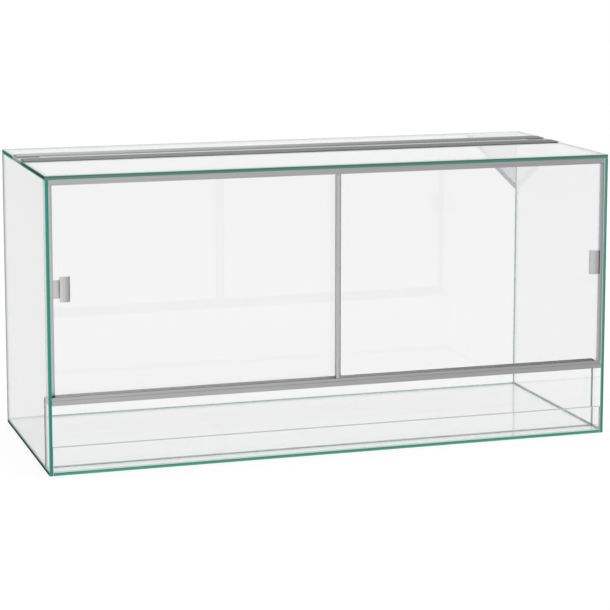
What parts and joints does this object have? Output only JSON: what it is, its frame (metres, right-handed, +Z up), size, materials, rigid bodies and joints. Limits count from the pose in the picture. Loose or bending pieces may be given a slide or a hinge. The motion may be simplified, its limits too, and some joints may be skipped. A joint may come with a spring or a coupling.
{
  "type": "glass terrarium",
  "caption": "Glass terrarium with two sliding doors in an aluminium rail and guide, a vented ledge below them, a perforated vent across the top and a cut-off cable corner.",
  "frame": {"origin": "middle of the floor panel's underside, which is the tank's base", "axes": "+X along the front to the viewer's right, +Y from the doors to the back panel, +Z up"},
  "size_m": [1, 0.4045, 0.5016],
  "materials": {
    "float_glass": "clear float glass, ground and polished edges, green where seen edge-on",
    "door_glass": "clear float glass, 5 mm, polished edges",
    "anodised_aluminium": "natural anodised, fine drawn lines along each profile",
    "perforated_sheet": "natural anodised sheet with round holes",
    "glide_plastic": "black low-friction plastic",
    "frosted_plastic": "translucent white sheet",
    "clear_silicone": "clear silicone, smoothed to a hollow fillet"
  },
  "bodies": {
    "case": {"floor_panel": "float_glass", "left_side_panel": "float_glass", "right_side_panel": "float_glass", "back_panel": "float_glass", "top_front_panel": "float_glass", "top_rear_strip": "float_glass", "left_vent_bridge": "float_glass", "right_vent_bridge": "float_glass", "front_vent_channel": "anodised_aluminium", "rear_vent_channel": "anodised_aluminium", "top_vent_strip": "perforated_sheet", "lower_front_strip": "float_glass", "sill_strip": "float_glass", "lower_door_rail": "anodised_aluminium", "upper_door_guide": "anodised_aluminium", "left_jamb_profile": "anodised_aluminium", "right_jamb_profile": "anodised_aluminium", "corner_edge_profile": "anodised_aluminium", "corner_cover": "frosted_plastic", "floor_seams": "clear_silicone", "upright_seams": "clear_silicone", "top_seams": "clear_silicone"},
    "left_door": {"left_door_glass": "door_glass", "left_door_stile": "anodised_aluminium", "left_door_handle": "anodised_aluminium", "left_door_glides": "glide_plastic"},
    "right_door": {"right_door_glass": "door_glass", "right_door_stile": "anodised_aluminium", "right_door_handle": "anodised_aluminium", "right_door_glides": "glide_plastic"}
  },
  "joints": [
    {"name": "left_door_slide", "type": "slide", "parent": "case", "child": "left_door", "axis": [1, 0, 0], "range_m": [0, 0.48]},
    {"name": "right_door_slide", "type": "slide", "parent": "case", "child": "right_door", "axis": [1, 0, 0], "range_m": [-0.48, 0]}
  ]
}
